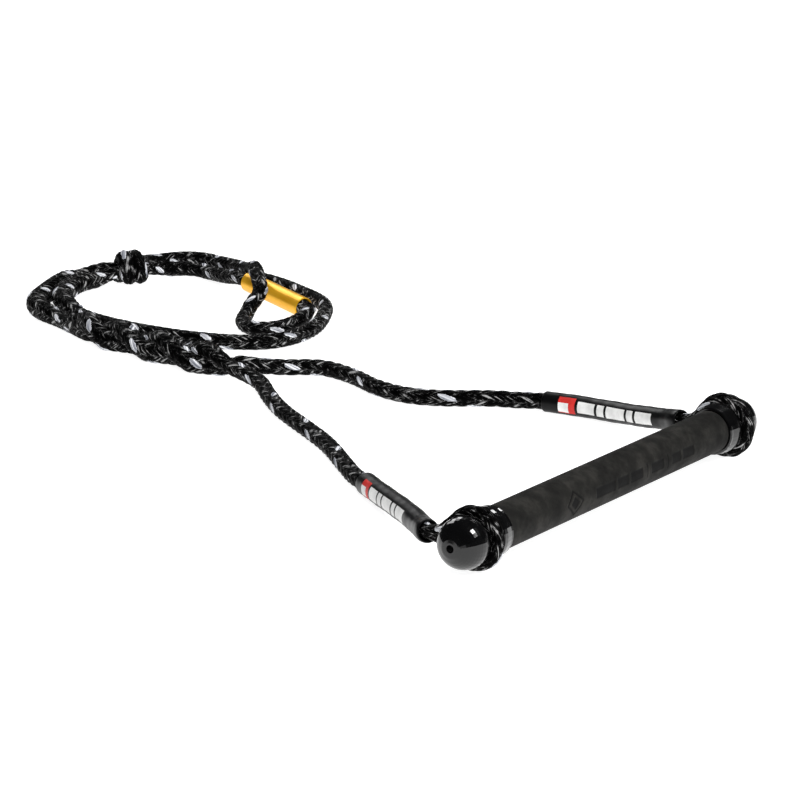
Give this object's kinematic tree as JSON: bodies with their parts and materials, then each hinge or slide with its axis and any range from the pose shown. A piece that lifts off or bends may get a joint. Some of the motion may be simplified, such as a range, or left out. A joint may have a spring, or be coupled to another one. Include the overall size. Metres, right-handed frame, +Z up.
{
  "type": "tow rope handle",
  "caption": "Rubber-gripped bar held by a spliced black rope bridle that ends in a knotted loop with a sliding gold tube.",
  "frame": {"origin": "on the floor under the middle of the bar", "axes": "+Z up, +Y along the bar, the rope lies on the floor towards -X"},
  "size_m": [0.6728, 0.6332, 0.0406],
  "materials": {
    "grip_rubber": "matte, moulded",
    "cap_gloss": "gloss",
    "rope_black": "braided",
    "rope_dark_grey": "braided",
    "sleeve_satin": "satin",
    "core_aluminium": "drawn",
    "tube_gold": "gold anodised",
    "screw_steel": "plain",
    "foam_core": "closed-cell foam",
    "plug_plastic": "moulded"
  },
  "bodies": {
    "rope": {"rope_eye_near": "rope_black", "rope_eye_far": "rope_black", "eye_splice_near": "rope_black", "eye_splice_far": "rope_black", "sleeve_near": "sleeve_satin", "sleeve_far": "sleeve_satin", "leg_near": "rope_black", "leg_far": "rope_black", "splice_strand_near": "rope_black", "splice_strand_far": "rope_dark_grey", "line_outer": "rope_black", "knot": "rope_dark_grey", "loop_upper": "rope_black", "loop_turn": "rope_black", "loop_in_tube": "rope_black", "loop_lower": "rope_black", "line_inner": "rope_black", "line_return": "rope_black"},
    "bar": {"core_tube": "core_aluminium", "foam_core": "foam_core", "rubber_grip": "grip_rubber", "end_cap_near": "cap_gloss", "end_cap_far": "cap_gloss", "cap_screw_near": "screw_steel", "cap_screw_far": "screw_steel", "tube_plug_near": "plug_plastic", "tube_plug_far": "plug_plastic"},
    "loop tube": {"loop_tube": "tube_gold"}
  },
  "joints": [
    {"name": "bar_spin", "type": "hinge", "parent": "rope", "child": "bar", "pos_m": [0, 0, 0.0203], "axis": [0, 1, 0], "continuous": true},
    {"name": "tube_slide", "type": "slide", "parent": "rope", "child": "loop tube", "axis": [0.9259, -0.3648, -0.0982], "range_m": [-0.003, 0.003]}
  ]
}
